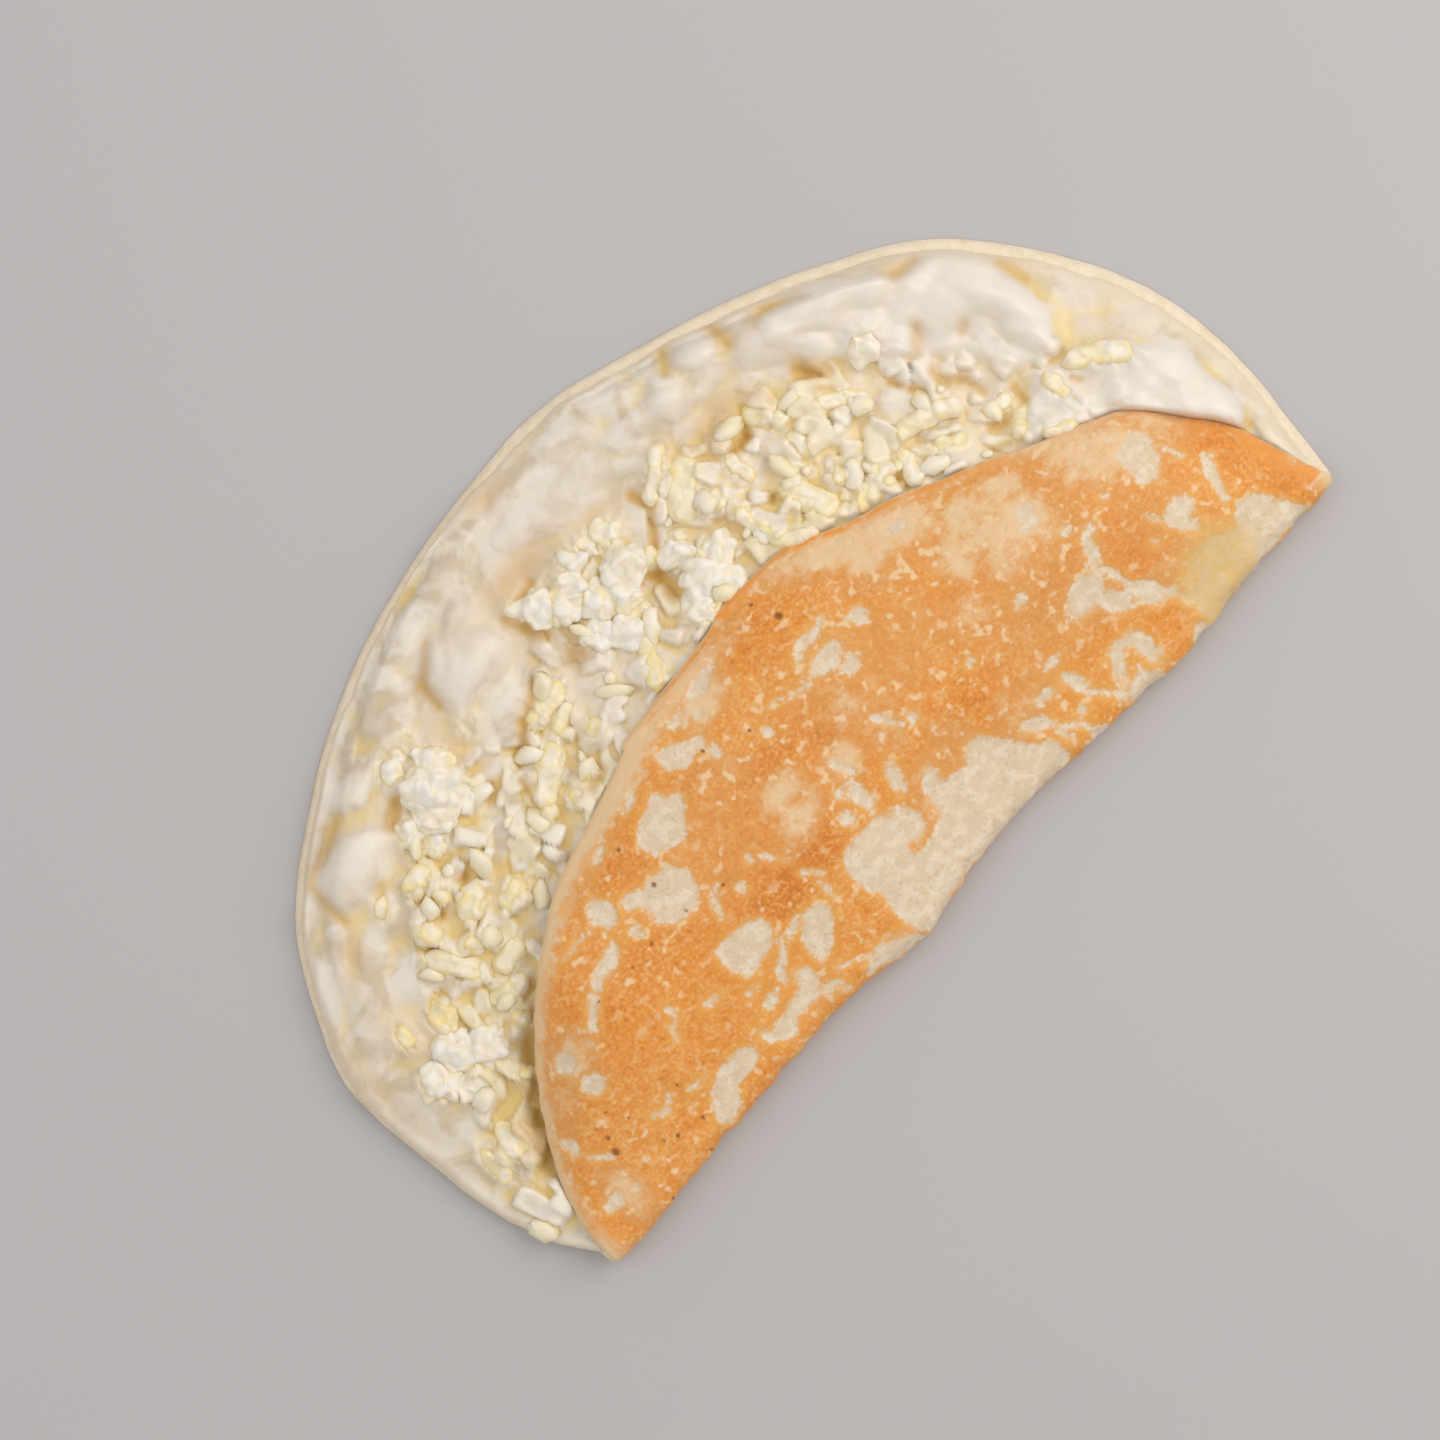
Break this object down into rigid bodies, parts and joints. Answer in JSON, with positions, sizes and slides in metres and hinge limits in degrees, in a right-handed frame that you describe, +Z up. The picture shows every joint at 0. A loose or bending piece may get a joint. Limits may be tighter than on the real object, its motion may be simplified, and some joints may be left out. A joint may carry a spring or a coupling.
{
  "type": "cheese flatbread",
  "caption": "Soft toasted flatbread folded over melted white cheese, with curds and grated strands showing on its open side.",
  "frame": {"origin": "under the middle of the part, on the surface it rests on", "axes": "+X along the fold, +Y from the fold towards the open side, +Z up"},
  "size_m": [0.2488, 0.141, 0.0213],
  "materials": {
    "toasted_bread": "matt baked crust, toasted golden brown with pale spots",
    "melted_cheese": "smooth satin, slightly greasy",
    "soft_curd": "soft satin, finely crumbled",
    "grated_cheese": "soft satin"
  },
  "bodies": {
    "root": {"flatbread": "toasted_bread", "melted_cheese": "melted_cheese", "curd_big_crumble": "soft_curd", "curd_granules": "soft_curd", "curd_curl": "soft_curd", "curd_cluster_left": "soft_curd", "curd_cluster_back": "soft_curd", "curd_cluster_middle": "soft_curd", "curd_cluster_front": "soft_curd", "curd_white_mass": "soft_curd", "curd_round": "soft_curd", "curd_ragged": "soft_curd", "curd_right": "soft_curd", "shred_01": "grated_cheese", "shred_02": "grated_cheese", "shred_03": "grated_cheese", "shred_04": "grated_cheese", "shred_05": "grated_cheese", "shred_06": "grated_cheese", "shred_07": "grated_cheese", "shred_08": "grated_cheese", "shred_09": "grated_cheese", "shred_10": "grated_cheese", "shred_11": "grated_cheese", "shred_12": "grated_cheese", "shred_13": "grated_cheese", "shred_14": "grated_cheese", "shred_15": "grated_cheese", "shred_16": "grated_cheese", "shred_17": "grated_cheese", "shred_18": "grated_cheese", "shred_19": "grated_cheese", "shred_20": "grated_cheese", "shred_21": "grated_cheese", "shred_22": "grated_cheese", "shred_23": "grated_cheese", "shred_24": "grated_cheese", "shred_25": "grated_cheese", "shred_26": "grated_cheese", "shred_27": "grated_cheese", "shred_28": "grated_cheese", "shred_29": "grated_cheese", "shred_30": "grated_cheese", "shred_31": "grated_cheese", "shred_32": "grated_cheese", "shred_33": "grated_cheese", "shred_34": "grated_cheese", "shred_35": "grated_cheese", "shred_36": "grated_cheese", "shred_37": "grated_cheese", "shred_38": "grated_cheese", "shred_39": "grated_cheese", "shred_40": "grated_cheese", "shred_41": "grated_cheese", "shred_42": "grated_cheese", "shred_43": "grated_cheese", "shred_44": "grated_cheese"}
  },
  "joints": []
}
